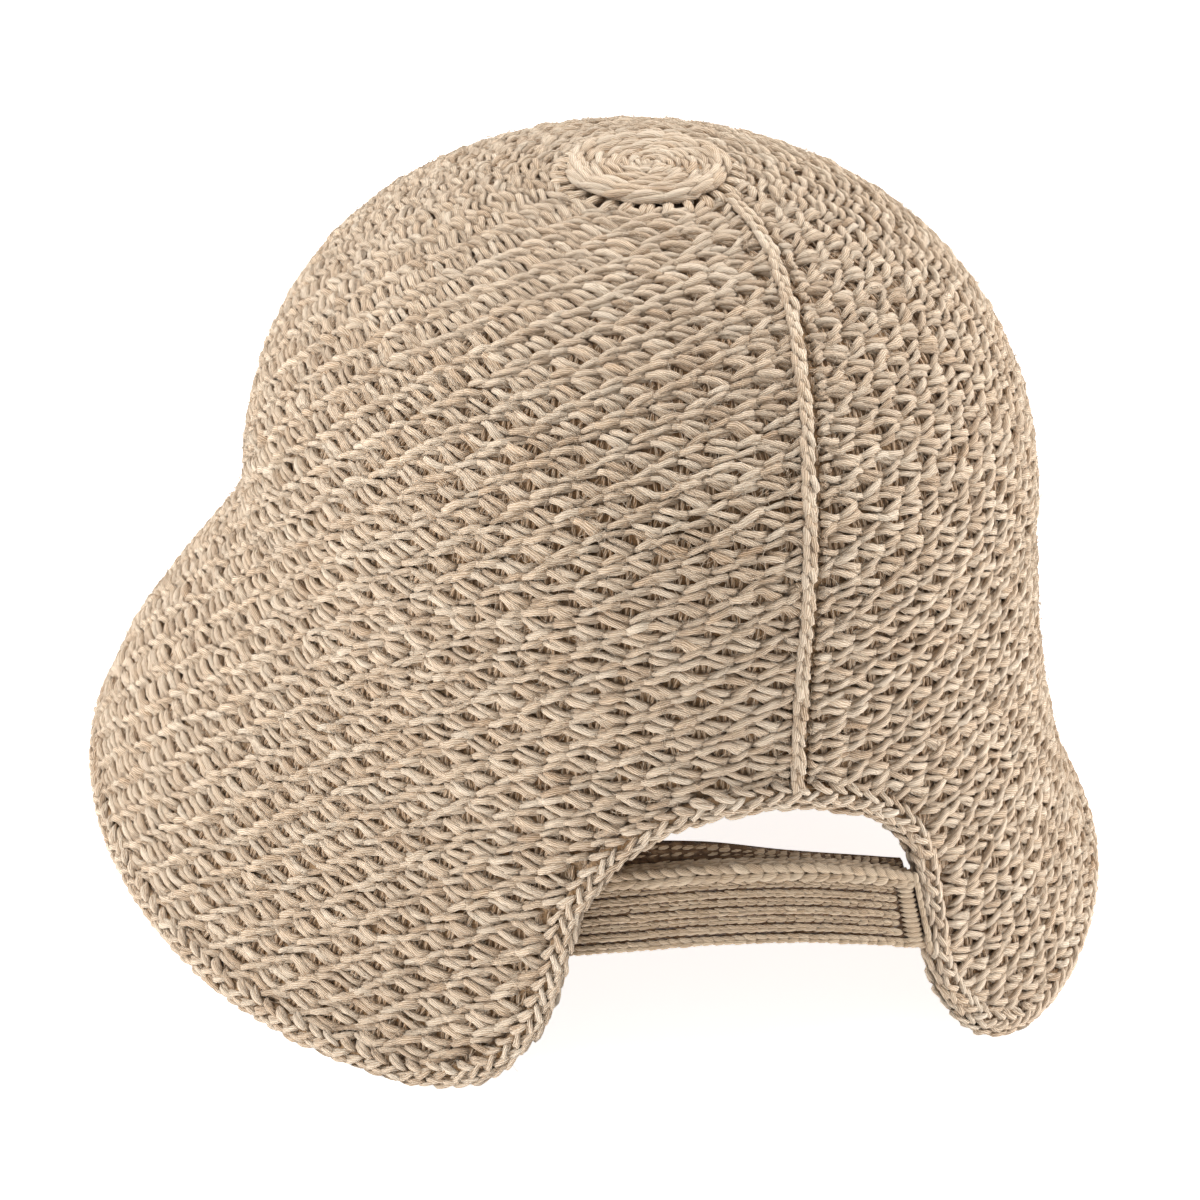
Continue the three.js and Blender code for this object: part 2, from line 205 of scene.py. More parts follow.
# The surface as a table over azimuth and length, which the functions below read between. It
# reaches a little past the longest line to the hem.
AZIMUTH_STEP, LENGTH_STEP, TABLE_REACH = 0.5, 0.5, 295
AZIMUTHS = np.arange(-180, 180, AZIMUTH_STEP)
LENGTHS = np.arange(0, TABLE_REACH, LENGTH_STEP)
LINES, LINE_LENGTHS = meridians(AZIMUTHS)
TOTALS = LINE_LENGTHS[:, -1]


def surface_table():
    """The meridians read at equal steps of length, and carried straight on past the hem."""
    table = np.stack([
        np.stack([np.interp(LENGTHS, lengths, line[:, axis]) for axis in range(3)], -1)
        for line, lengths in zip(LINES, LINE_LENGTHS)
    ])
    last = LINES[:, -1] - LINES[:, -2]
    last /= np.linalg.norm(last, axis=1)[:, None]
    past = np.maximum(0, LENGTHS[None, :] - TOTALS[:, None])
    return table + past[..., None] * last[:, None]


def normal_table(table):
    """The outward direction: across the round and down the fabric, crossed."""
    around = np.roll(table, -1, 0) - np.roll(table, 1, 0)
    down = np.gradient(table, axis=1)
    out = np.cross(around, down)
    out[:, :4] = out[:, 4:5].mean(0, keepdims=True)
    return out / np.linalg.norm(out, axis=2)[..., None]


SURFACE = surface_table()
NORMALS = normal_table(SURFACE)
CROWN_MIDDLE, CROWN_UP = SURFACE[:, 0].mean(0), NORMALS[:, 0].mean(0)


def read(table, azimuth, length):
    """A value of the table at any azimuth and length, linear between its entries."""
    a = ((azimuth + 180) % 360) / AZIMUTH_STEP
    b = np.clip(length / LENGTH_STEP, 0, len(LENGTHS) - 1.001)
    i, j = np.floor(a).astype(int) % len(AZIMUTHS), np.floor(b).astype(int)
    k = (i + 1) % len(AZIMUTHS)
    u, v = (a - np.floor(a))[..., None], (b - j)[..., None]
    return ((table[i, j] * (1 - u) + table[k, j] * u) * (1 - v)
            + (table[i, j + 1] * (1 - u) + table[k, j + 1] * u) * v)


def normal(azimuth, length):
    """The outward direction at a place on the fabric."""
    out = read(NORMALS, azimuth, length)
    return out / np.linalg.norm(out, axis=-1)[..., None]


def fabric(azimuth, length, depth):
    """The point at a depth below the outside of the fabric."""
    return read(SURFACE, azimuth, length) - np.asarray(depth)[..., None] * normal(azimuth, length)


def total(azimuth):
    """The length of the fabric from the crown's middle to the uncut hem."""
    wrapped = (azimuth + 180) % 360 - 180
    return np.interp(wrapped, np.append(AZIMUTHS, 180), np.append(TOTALS, TOTALS[0]))


def smooth(points, count):
    """A centripetal Catmull-Rom curve through a row of points, read at equal steps."""
    ends = np.concatenate([[2 * points[0] - points[1]], points, [2 * points[-1] - points[-2]]])
    knots = np.concatenate([[0], np.cumsum(np.linalg.norm(np.diff(ends, axis=0), axis=1) ** 0.5)])
    t = np.concatenate([np.linspace(knots[i], knots[i + 1], 24, endpoint=False)
                        for i in range(1, len(points))] + [[knots[-2]]])
    i = np.clip(np.searchsorted(knots, t, side="right") - 1, 1, len(points) - 1)

    def mix(p, q, start, end):
        share = ((t - knots[start]) / (knots[end] - knots[start]))[:, None]
        return p * (1 - share) + q * share

    a1, a2, a3 = [mix(ends[i + s], ends[i + s + 1], i + s, i + s + 1) for s in (-1, 0, 1)]
    b1, b2 = mix(a1, a2, i - 1, i + 1), mix(a2, a3, i, i + 2)
    curve = mix(b1, b2, i, i + 1)
    along = np.concatenate([[0], np.cumsum(np.linalg.norm(np.diff(curve, axis=0), axis=1))])
    steps = np.linspace(0, along[-1], count)
    return np.stack([np.interp(steps, along, curve[:, c]) for c in range(curve.shape[1])], -1)


ARCH_CURVE = smooth(ARCH.astype(float), 200)


def arch_height(azimuth):
    """The height of the arch over the uncut hem, 0 outside it."""
    wrapped = (azimuth + 180) % 360 - 180
    return np.interp(wrapped, ARCH_CURVE[::-1, 0], ARCH_CURVE[::-1, 1], left=0, right=0)


def rim_line(count, inset):
    """Places along the closed rim, at equal steps, moved into the fabric by inset: the rim is
    turned by a right angle in the plane of the unrolled fabric."""
    plain = np.linspace(ARCH_CURVE[-1, 0], ARCH_CURVE[0, 0] - 360, 400)[1:-1]
    places = np.concatenate([ARCH_CURVE, np.stack([plain, 0 * plain], -1)])
    radius = np.linalg.norm(fabric(places[:, 0], total(places[:, 0]), 0.0) - HEM_CENTRE, axis=1)
    around = np.roll(places, -1, 0) - np.roll(places, 1, 0)
    along = np.radians((around[:, 0] + 180) % 360 - 180) * radius
    size = np.hypot(along, around[:, 1])
    azimuth = places[:, 0] + np.degrees(inset * around[:, 1] / size / radius)
    height = places[:, 1] - inset * along / size
    points = fabric(azimuth, total(azimuth) - height, WALL / 2)
    closed = np.concatenate([points, points[:1]])
    lengths = np.concatenate([[0], np.cumsum(np.linalg.norm(np.diff(closed, axis=0), axis=1))])
    steps = np.linspace(0, lengths[-1], count, endpoint=False)
    azimuth = np.interp(steps, lengths, np.append(azimuth, azimuth[0] - 360))
    height = np.interp(steps, lengths, np.append(height, height[0]))
    return azimuth, height, lengths[-1]


def make_mesh(name, vertices, polygons, yarn=None):
    """A mesh object from arrays: vertices in millimetres, a list of polygon arrays with one
    width each, and for a strand its millimetres along, millimetres around and tone. A vertex
    below the floor is lifted onto it."""
    mesh = bpy.data.meshes.new(name)
    vertices = vertices.reshape(-1, 3) * MM
    vertices[:, 2] = np.maximum(vertices[:, 2], 0.0)
    widths = np.concatenate([np.full(len(p), p.shape[1]) for p in polygons])
    corners = np.concatenate([p.ravel() for p in polygons]).astype(np.int32)
    mesh.vertices.add(len(vertices))
    mesh.vertices.foreach_set("co", vertices.astype(np.float32).ravel())
    mesh.loops.add(len(corners))
    mesh.loops.foreach_set("vertex_index", corners)
    mesh.polygons.add(len(widths))
    starts = np.concatenate([[0], np.cumsum(widths)[:-1]]).astype(np.int32)
    mesh.polygons.foreach_set("loop_start", starts)
    mesh.polygons.foreach_set("use_smooth", np.ones(len(widths), bool))
    if yarn is not None:
        values = mesh.attributes.new("yarn", "FLOAT_VECTOR", "POINT")
        values.data.foreach_set("vector", yarn.astype(np.float32).ravel())
    mesh.update(calc_edges=True)
    mesh.validate()
    piece = bpy.data.objects.new(name, mesh)
    bpy.context.scene.collection.objects.link(piece)
    return piece


def dress(piece, material, slot, *nodes):
    """The piece's material, body and the nodes that it stands for. The slot is not used."""
    piece.data.materials.append(material)
    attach(piece, "root")
    if nodes:
        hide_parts(*nodes)


def shell(name, rings, loop, caps=None):
    """A closed skin between rings of points. rings is an array of rings by points by 3; the
    last ring joins the first when loop is true, and otherwise both ends close on a point."""
    count, width = rings.shape[:2]
    r = np.arange(count if loop else count - 1)[:, None] * width
    s = (r + width) % (count * width)
    i = np.arange(width)[None]
    j = (i + 1) % width
    quads = np.stack([r + i, s + i, s + j, r + j], -1).reshape(-1, 4)
    vertices, polygons = rings.reshape(-1, 3), [quads]
    if not loop:
        i, j = np.arange(width), (np.arange(width) + 1) % width
        end = (count - 1) * width
        first = np.stack([i, j, np.full(width, len(vertices))], -1)
        last = np.stack([end + j, end + i, np.full(width, len(vertices) + 1)], -1)
        vertices = np.concatenate([vertices, caps])
        polygons = [quads, first, last]
    return make_mesh(name, vertices, polygons)


def strands(path, out, radius, tone, sides=5, flat=0.85):
    """Tapered tubes of yarn, one for each row of path: rings of sides points round the path,
    in the plane of its outward direction and the one across, slightly flattened. Returns
    vertices, polygons and the yarn attribute."""
    count, rings = path.shape[:2]
    along = np.gradient(path, axis=1)
    along /= np.linalg.norm(along, axis=2)[..., None]
    across = np.cross(along, out)
    across /= np.linalg.norm(across, axis=2)[..., None]
    up = np.cross(across, along)
    share = (np.arange(sides) + 0.5) / sides
    turn = 2 * np.pi * share - np.pi / 2
    spread = radius[..., None, None]
    vertices = (path[:, :, None] + spread * np.cos(turn)[:, None] * across[:, :, None]
                + flat * spread * np.sin(turn)[:, None] * up[:, :, None])
    base = np.arange(count)[:, None, None] * rings * sides
    r = np.arange(rings - 1)[None, :, None] * sides
    i = np.arange(sides)[None, None]
    j = (i + 1) % sides
    quads = np.stack([base + r + i, base + r + sides + i, base + r + sides + j, base + r + j], -1)
    start = base[:, 0] + np.arange(sides)[None]
    end = base[:, 0] + (rings - 1) * sides + np.arange(sides)[None, ::-1]
    steps = np.linalg.norm(np.diff(path, axis=1), axis=2)
    length = np.concatenate([np.zeros((count, 1)), np.cumsum(steps, 1)], 1)
    length = length + RNG.uniform(0, 50, (count, 1))
    yarn = np.zeros((count, rings, sides, 3))
    yarn[..., 0] = length[..., None]
    yarn[..., 1] = share * 2 * np.pi * radius.max()
    yarn[..., 2] = tone[:, None, None]
    polygons = [quads.reshape(-1, 4), np.concatenate([start, end])]
    return vertices.reshape(-1, 3), polygons, yarn.reshape(-1, 3)


def plied(path, out, radius, tone):
    """Two plies of yarn twisted three eighths of a turn about each other along each path: each
    is a thinner strand, moved from the path by half the yarn's radius, in a direction that
    turns as it goes along."""
    along = np.gradient(path, axis=1)
    across = np.cross(along, out)
    across /= np.linalg.norm(across, axis=2)[..., None]
    start = RNG.uniform(-0.5, 0.5, (len(path), 1))
    turn = (start + np.linspace(0, 0.75 * np.pi, path.shape[1])[None])[..., None]
    parts = []
    for side in (-1, 1):
        move = side * 0.5 * radius[..., None]
        shifted = path + move * (np.cos(turn) * across + 0.8 * np.sin(turn) * out)
        shade = tone + RNG.normal(0, 0.05, len(tone))
        parts.append(strands(shifted, out, PLY * radius, shade, sides=4, flat=0.9))
    return parts


def joined(name, parts):
    """Several sets of strands as one mesh."""
    offset, vertices, quads, caps, yarn = 0, [], [], {}, []
    for part_vertices, (part_quads, part_caps), part_yarn in parts:
        vertices.append(part_vertices)
        quads.append(part_quads + offset)
        caps.setdefault(part_caps.shape[1], []).append(part_caps + offset)
        yarn.append(part_yarn)
        offset += len(part_vertices)
    polygons = [np.concatenate(quads)] + [np.concatenate(c) for c in caps.values()]
    return make_mesh(name, np.concatenate(vertices), polygons, np.concatenate(yarn))


def taper(rings, blunt=0.3):
    """The thickness of a loop's leg along its length: full in the middle, blunt at the ends."""
    u = np.linspace(-1, 1, rings)
    return blunt + (1 - blunt) * np.sqrt(np.maximum(0, 1 - np.abs(u) ** 3))


def thickness(radius, count, spread=0.08, rings=LEG_RINGS):
    """The half thickness of each leg along its length: the taper times the radius, a little
    more in one leg and less in another."""
    return radius * taper(rings)[None] * RNG.normal(1, spread, (count, 1))


def jitter(spread, count):
    """A small random amount for each strand, as a column."""
    return RNG.normal(0, spread, (count, 1))


def seam_azimuth(length):
    """The seam up the back: it runs straight up and swings to the right near the crown's top,
    by an angle that fades exponentially with the length."""
    return SEAM_END - SEAM_TURN * np.exp(-length / SEAM_REACH)


def round_table(length):
    """The distance along one round from the seam, at every half degree once round the hat,
    measured 0.8 mm below the outside."""
    azimuth = seam_azimuth(length) + np.linspace(0, 360, 721)
    points = fabric(azimuth, np.full(azimuth.shape, length), 0.8)
    steps = np.linalg.norm(np.diff(points, axis=0), axis=1)
    return azimuth, np.concatenate([[0], np.cumsum(steps)])


def tilt(azimuth, length):
    """How far a round lies lower than its mean, from nothing at the disc to its full tilt: a
    sine of the azimuth times a smooth step of the length."""
    share = np.clip((length - TILT_FROM) / (TILT_TO - TILT_FROM), 0, 1)
    return -ROUND_TILT * share**2 * (3 - 2 * share) * np.sin(np.radians(azimuth))


RIM_AZIMUTH, RIM_HEIGHT, _ = rim_line(600, 0.0)
RIM_POINTS = fabric(RIM_AZIMUTH, total(RIM_AZIMUTH) - RIM_HEIGHT, WALL / 2)


def in_fabric(azimuth, length, margin):
    """True for places inside the rim by more than the margin: their distance from the nearest
    point of the rim, found for about 2000 places at a time."""
    height = total(azimuth) - length
    points = fabric(azimuth, length, WALL / 2)
    gaps = np.concatenate([
        np.sqrt(((chunk[:, None] - RIM_POINTS[None]) ** 2).sum(2)).min(1)
        for chunk in np.array_split(points, max(1, len(points) // 2000))
    ])
    return (height > arch_height(azimuth)) & (gaps > margin)


def round_of_legs(index, length):
    """One round: the two legs of each chain loop. A leg is a slanting lozenge whose ends dip
    into the fabric; the chain waves up and down once for every pair of stitches, the other
    way in each round, so that holes open between rounds like bricks."""
    azimuth_table, distance = round_table(length)
    round_length = distance[-1]
    pairs = max(6, round(round_length / STITCH_PAIR))
    pair = round_length / pairs
    count = 2 * pairs
    centre = (np.arange(count)[:, None] + 0.5) * pair / 2 + FIRST_STITCH
    x = ALONG_LEG * LEG_HALF * (pair / STITCH_PAIR)
    parts = []
    for side in (-1, 1):
        middle = centre + jitter(0.35, count) + 0.9 * side
        place = middle + x * RNG.normal(1, 0.08, (count, 1))
        place = np.clip(place, AFTER_SEAM, round_length - BEFORE_SEAM)
        phase = 2 * np.pi * (place - FIRST_STITCH) / pair + np.pi * index
        wave = WAVE * (np.cos(phase) + 0.18 * np.cos(3 * phase))
        spread = LEG_SPREAD - LEG_SLANT * x / LEG_HALF
        azimuth = np.interp(place, distance, azimuth_table)
        down = length + tilt(azimuth, length) + wave + side * spread
        down = down + jitter(0.2, count) + jitter(0.09, count) * x
        depth = LEG_DEPTH + LEG_DIP * np.abs(x / LEG_HALF) ** 2.0 + jitter(0.16, count)
        parts.append((azimuth, down, depth))
    azimuth, down, depth = [np.concatenate(p) for p in zip(*parts)]
    keep = in_fabric(azimuth[:, 2], down[:, 2], EDGING_WIDTH - MIDDLE_UNDER)
    for end in (0, -1):
        keep &= in_fabric(azimuth[:, end], down[:, end], EDGING_WIDTH - ENDS_UNDER)
    return azimuth[keep], down[keep], depth[keep]


def round_of_bars(index, length):
    """The strands seen deep in the holes: short bars from one round to the next."""
    azimuth_table, distance = round_table(length)
    pairs = max(6, round(distance[-1] / STITCH_PAIR))
    pair = distance[-1] / pairs
    hole = (np.arange(pairs) + (0.5 if index % 2 == 0 else 0.0)) * pair + FIRST_STITCH
    count = 3 * pairs
    middle = np.concatenate([hole - BAR_GAP, hole, hole + BAR_GAP])[:, None] + jitter(0.2, count)
    u = np.linspace(-1, 1, 4)[None]
    place = (middle + jitter(0.35, count) * u) % distance[-1]
    azimuth = np.interp(place, distance, azimuth_table)
    down = length + tilt(azimuth, length) + ROUND_PITCH / 2 + BAR_HALF * u
    depth = BAR_DEPTH + 0.35 * u**2 + jitter(0.15, count)
    keep = in_fabric(azimuth[:, 1], down[:, 1], EDGING_WIDTH)
    return azimuth[keep], down[keep], depth[keep]


def tones(count, base=0.0, spread=0.07):
    """How light each strand is: 0 is the yarn's own colour."""
    return base + RNG.normal(0, spread, count)


def crochet(name, first, last):
    """The rounds from first to last as one mesh."""
    legs, bars = [], []
    for index in range(first, last):
        length = FIRST_ROUND + ROUND_PITCH * index
        legs.append(round_of_legs(index, length))
        bars.append(round_of_bars(index, length))
    azimuth, down, depth = [np.concatenate(p) for p in zip(*legs)]
    radius = thickness(YARN, len(azimuth), 0.11)
    chains = plied(fabric(azimuth, down, depth), normal(azimuth, down), radius, tones(len(azimuth)))
    azimuth, down, depth = [np.concatenate(p) for p in zip(*bars)]
    radius = BAR * np.ones(azimuth.shape)
    # the bars' darker tone is painted shade: they lie deep in the holes
    inner = strands(fabric(azimuth, down, depth), normal(azimuth, down), radius,
                    tones(len(azimuth), BAR_PAINTED_SHADE), sides=4)
    return joined(name, chains + [inner])


def srgb(code):
    """A colour written as sRGB hex, as the linear values that Blender's sockets take."""
    value = np.array([int(code[i:i + 2], 16) for i in (1, 3, 5)]) / 255
    linear = np.where(value <= 0.04045, value / 12.92, ((value + 0.055) / 1.055) ** 2.4)
    return (*linear.tolist(), 1.0)


def node(tree, kind, settings=(), links=()):
    """A node with its settings, given as a name or a socket and its value, and its links,
    given as an input socket and the output that feeds it."""
    new = tree.nodes.new(kind)
    for key, value in dict(settings).items():
        if isinstance(key, str) and hasattr(new, key):
            setattr(new, key, value)
        else:
            new.inputs[key].default_value = value
    for key, output in dict(links).items():
        tree.links.new(output, new.inputs[key])
    return new


def yarn_material(name, dark, mid, light, ply=0.62):
    """Loosely spun wool blend of several fine plies with little twist, slightly hairy: the eye
    sees pale lines along each stitch with brown ones where the plies meet, which are painted
    shade in the grooves between them, and a matte sheen."""
    material = bpy.data.materials.new(name)
    material.use_nodes = True
    tree = material.node_tree
    tree.nodes.clear()
    yarn = node(tree, "ShaderNodeAttribute", {"attribute_name": "yarn"})
    parts = node(tree, "ShaderNodeSeparateXYZ", links={0: yarn.outputs["Vector"]})
    place = node(tree, "ShaderNodeCombineXYZ",
                 links={0: parts.outputs[0], 1: parts.outputs[1]})
    turned = node(tree, "ShaderNodeMapping", {"Rotation": (0, 0, np.radians(14))},
                  {"Vector": place.outputs[0]})
    # bands one ply apart: the period of a wave texture is 0.314 over its scale
    plies = node(tree, "ShaderNodeTexWave",
                 {"bands_direction": "Y", "Scale": 0.314 / ply, "Distortion": 2.6, "Detail": 2.0,
                  "Detail Scale": 1.2},
                 {"Vector": turned.outputs[0]})
    # streaks about 2.5 mm long and 0.17 mm wide
    stretched = node(tree, "ShaderNodeMapping", {"Scale": (0.25, 3.7, 1.0)},
                     {"Vector": turned.outputs[0]})
    fibres = node(tree, "ShaderNodeTexNoise", {"Scale": 1.6, "Detail": 4.0, "Roughness": 0.7},
                  {"Vector": stretched.outputs[0]})
    objects = node(tree, "ShaderNodeTexCoord")
    # patches about 12 mm across where the spinning ran lighter or darker
    patches = node(tree, "ShaderNodeTexNoise", {"Scale": 85.0, "Detail": 2.0},
                   {"Vector": objects.outputs["Object"]})
    # the place on the ramp: 0.42 of the plies, the fibres, 0.18 of the patches and the tone; the
    #     # plies' dark bands are painted shade in the grooves where the plies meet
    with_plies = node(tree, "ShaderNodeMath", {"operation": "MULTIPLY_ADD", 1: 0.42, 2: -0.04},
                      {0: plies.outputs["Fac"]})
    with_fibres = node(tree, "ShaderNodeMath", {"operation": "ADD"},
                       {0: fibres.outputs["Fac"], 1: with_plies.outputs[0]})
    with_patches = node(tree, "ShaderNodeMath", {"operation": "MULTIPLY_ADD", 1: 0.18},
                        {0: patches.outputs["Fac"], 2: with_fibres.outputs[0]})
    shade = node(tree, "ShaderNodeMath", {"operation": "ADD"},
                 {0: with_patches.outputs[0], 1: parts.outputs[2]})
    ramp = node(tree, "ShaderNodeValToRGB", links={0: shade.outputs[0]})
    ramp.color_ramp.elements[0].position = 0.25
    ramp.color_ramp.elements[0].color = srgb(dark)
    ramp.color_ramp.elements[1].position = 1.0
    ramp.color_ramp.elements[1].color = srgb(light)
    middle = ramp.color_ramp.elements.new(0.62)
    middle.color = srgb(mid)
    height = node(tree, "ShaderNodeMath", {"operation": "MULTIPLY_ADD", 1: 0.5},
                  {0: plies.outputs["Fac"], 2: fibres.outputs["Fac"]})
    bump = node(tree, "ShaderNodeBump", {"Strength": 1.0, "Distance": 0.0005},
                {"Height": height.outputs[0]})
    shader = node(tree, "ShaderNodeBsdfPrincipled",
                  {"Roughness": 0.95, "IOR": 1.45, "Sheen Weight": 0.5, "Sheen Roughness": 0.4,
                   "Sheen Tint": srgb("#f3e3d2"), "Specular IOR Level": 0.25},
                  {"Base Color": ramp.outputs[0], "Normal": bump.outputs[0]})
    node(tree, "ShaderNodeOutputMaterial", links={0: shader.outputs[0]})
    return material


def backing_material(name, dark, light, pitch):
    """The back of the crochet and the depth of its holes: the same yarn in shade, in short
    bumps one stitch wide and one round high, browner because little light gets there."""
    material = bpy.data.materials.new(name)
    material.use_nodes = True
    tree = material.node_tree
    tree.nodes.clear()
    objects = node(tree, "ShaderNodeTexCoord")
    squeezed = node(tree, "ShaderNodeMapping", {"Scale": (1, 1, 1.5)},
                    {"Vector": objects.outputs["Object"]})
    loops = node(tree, "ShaderNodeTexVoronoi",
                 {"feature": "SMOOTH_F1", "Scale": 1 / pitch, "Smoothness": 0.4, "Randomness": 0.55},
                 {"Vector": squeezed.outputs[0]})
    fibres = node(tree, "ShaderNodeTexNoise", {"Scale": 900.0, "Detail": 4.0},
                  {"Vector": squeezed.outputs[0]})
    mixed = node(tree, "ShaderNodeMath", {"operation": "MULTIPLY_ADD", 1: 0.6},
                 {0: fibres.outputs["Fac"], 2: loops.outputs["Distance"]})
    # the ramp goes from light in the middle of each bump to dark at its edges: painted shade between the
    # loops
    ramp = node(tree, "ShaderNodeValToRGB", links={0: mixed.outputs[0]})
    ramp.color_ramp.elements[0].position = 0.35
    ramp.color_ramp.elements[0].color = srgb(light)
    ramp.color_ramp.elements[1].position = 1.0
    ramp.color_ramp.elements[1].color = srgb(dark)
    bump = node(tree, "ShaderNodeBump", {"Strength": 1.0, "Distance": 0.002, "invert": True},
                {"Height": mixed.outputs[0]})
    shader = node(tree, "ShaderNodeBsdfPrincipled",
                  {"Roughness": 0.95, "Sheen Weight": 0.2, "Sheen Roughness": 0.5,
                   "Specular IOR Level": 0.2},
                  {"Base Color": ramp.outputs[0], "Normal": bump.outputs[0]})
    node(tree, "ShaderNodeOutputMaterial", links={0: shader.outputs[0]})
    return material


WOOL = yarn_material("wool_blend_yarn", "#916c47", "#dcbd9c", "#f8e6ce")
BORDER_WOOL = yarn_material("wool_blend_border_yarn", "#94704a", "#debf9f", "#f9e8d1")
STRAP_WOOL = yarn_material("wool_blend_rib_yarn", "#84623e", "#cdae8c", "#ecd6b9", ply=0.45)
# The colours of the back of the crochet and of the cores are painted shade: the same yarn, made darker
# and browner where little light gets in.
SHADED_INSIDE = backing_material("crochet_inside_painted_shade", "#93734f", "#bb9e80", 0.0058)
SHADED_STRAP_INSIDE = backing_material("rib_inside_painted_shade", "#553d28", "#876b4e", 0.0022)


def crown_backing():
    """The crown's inner layer, a dome from the depth of the holes to the fabric's inside."""
    azimuth = np.linspace(0, 360, 120, endpoint=False)
    length = np.linspace(3, CROWN_LENGTH + 0.1, 44)
    grid_azimuth, grid_length = np.meshgrid(azimuth, length)
    outer = fabric(grid_azimuth, grid_length, HOLE_DEPTH)
    inner = fabric(grid_azimuth, grid_length, WALL)[::-1]
    caps = [CROWN_MIDDLE - HOLE_DEPTH * CROWN_UP, CROWN_MIDDLE - WALL * CROWN_UP]
    piece = shell("crown_backing", np.concatenate([outer, inner])[:, ::-1], False, caps)
    dress(piece, SHADED_INSIDE, "crochet_yarn", "crown")


def brim_backing():
    """The brim's inner layer, from the crown's last round to the border."""
    azimuth, height, _ = rim_line(260, EDGING_WIDTH - 2.0)
    share = np.linspace(0, 1, 22)[:, None]
    start = CROWN_LENGTH + 0.2
    length = start + share * (total(azimuth) - height - start)[None]
    grid_azimuth = azimuth[None] + 0 * length
    outer = fabric(grid_azimuth, length, HOLE_DEPTH)
    inner = fabric(grid_azimuth, length, WALL)[::-1]
    piece = shell("brim_backing", np.concatenate([outer, inner]), True)
    dress(piece, SHADED_INSIDE, "crochet_yarn", "brim")


def border_frame():
    """Points along the middle of the border, the directions out of it and across it at each,
    and the length of that line."""
    azimuth, height, line_length = rim_line(BORDER_STATIONS, EDGING_WIDTH / 2)
    length = total(azimuth) - height
    at = fabric(azimuth, length, WALL / 2)
    out = normal(azimuth, length)
    along = np.roll(at, -1, 0) - np.roll(at, 1, 0)
    along /= np.linalg.norm(along, axis=1)[:, None]
    across = np.cross(along, out)
    return at, out, across / np.linalg.norm(across, axis=1)[:, None], line_length


def border():
    """The border: a core, a chain of loops rolled over the rim, and slanting stitches that
    wrap it from the fabric to the chain on both faces. A stitch rises over the border's
    middle as an oval does, less a dip towards its ends."""
    at, out, across, line_length = border_frame()
    turn = 2 * np.pi * np.arange(8) / 8
    rings = (at[:, None] + across[:, None] * (EDGING_WIDTH / 2 - 0.9) * np.cos(turn)[:, None]
             + out[:, None] * (EDGING_THICKNESS / 2 - 0.8) * np.sin(turn)[:, None])
    core = shell("edging_core", rings, True)
    dress(core, SHADED_INSIDE, "border_yarn", "edging")
    parts = []
    stitches = round(line_length / BORDER_STITCH)
    index = ((np.arange(stitches) + 0.5) / stitches * BORDER_STATIONS)[:, None]
    step = BORDER_STATIONS / line_length

    def read_at(table, place):
        closed = np.concatenate([table, table[:1]])
        return np.stack([np.interp(place % BORDER_STATIONS, np.arange(len(closed)), column)
                         for column in closed.T], -1)

    for face in (1, -1):
        for row, (inset, half, slant, radius) in enumerate(BORDER_ROWS):
            shift = (row % 2) * BORDER_SHIFT + jitter(0.3, stitches)
            place = index + (ALONG_LEG * half + shift) * step
            side = inset + slant * ALONG_LEG + jitter(0.28, stitches)
            bulge = np.sqrt(np.maximum(0.05, 1 - (side / (EDGING_WIDTH / 2 + 0.3)) ** 2))
            dip = 0.66 * np.abs(ALONG_LEG) ** 2.2
            rise = face * (bulge * (EDGING_THICKNESS / 2 - 0.25) - dip)
            outward = read_at(out, place)
            path = (read_at(at, place) + read_at(across, place) * side[..., None]
                    + outward * rise[..., None])
            thick = thickness(radius, stitches)
            parts.extend(plied(path, outward * face, thick, tones(stitches, 0.02, 0.08)))
    dress(joined("edging_stitches", parts), BORDER_WOOL, "border_yarn", "edging")


STRAP_CURVE = smooth(STRAP, 160)
STRAP_SHARES = np.linspace(0, 1, len(STRAP_CURVE))


def leaf_top(share):
    """The height of the inner leaf at a share of the way along the strap."""
    return np.interp(share, STRAP_SHARES, STRAP_CURVE[:, 3])


def strap_place(share, depth, height):
    """A point of the strap and the outward direction there: share runs from its left end to
    its right one, depth goes in behind its face and height up from its lower edge. Near the
    right end the strap slants with its height, by the fourth power of the share."""
    azimuth, lower, face = [np.interp(share, STRAP_SHARES, STRAP_CURVE[:, c]) for c in range(3)]
    slant = 1.7 * share**4 * height / STRAP_HEIGHT
    length = total(azimuth) - lower - height
    return fabric(azimuth + slant, length, face + depth), normal(azimuth + slant, length)


def strap_core():
    """The strap's core: one section of both leaves, swept along the strap and closed at its
    ends. The section starts at the chain below, goes up the face and over the roll, and comes
    back down the inner leaf, whose height changes along the strap."""
    share = np.linspace(0, 1, 70)[:, None]
    leaf = leaf_top(share)
    face = np.array([[1.4, 0.6], [0.9, 1.6], [0.9, 15.8], [0.6, 16.8], [0.6, 18.2], [1.6, 18.8],
                     [2.8, 18.0], [3.3, 18.6]])
    depth = np.append(face[:, 0], [3.5, 4.2, 4.9, 4.9, 4.2])[None]
    height = np.concatenate([face[:, 1][None] + 0 * share, leaf - 1.2, leaf - 0.5, leaf - 1.2,
                             1.6 + 0 * leaf, 0.6 + 0 * leaf], 1)
    rings, _ = strap_place(share + 0 * height, depth, height)
    caps = [strap_place(end, 4.0, 11.5)[0] for end in (0.0, 1.0)]
    dress(shell("strap_core", rings, False, caps), SHADED_STRAP_INSIDE, "strap_yarn", "strap")


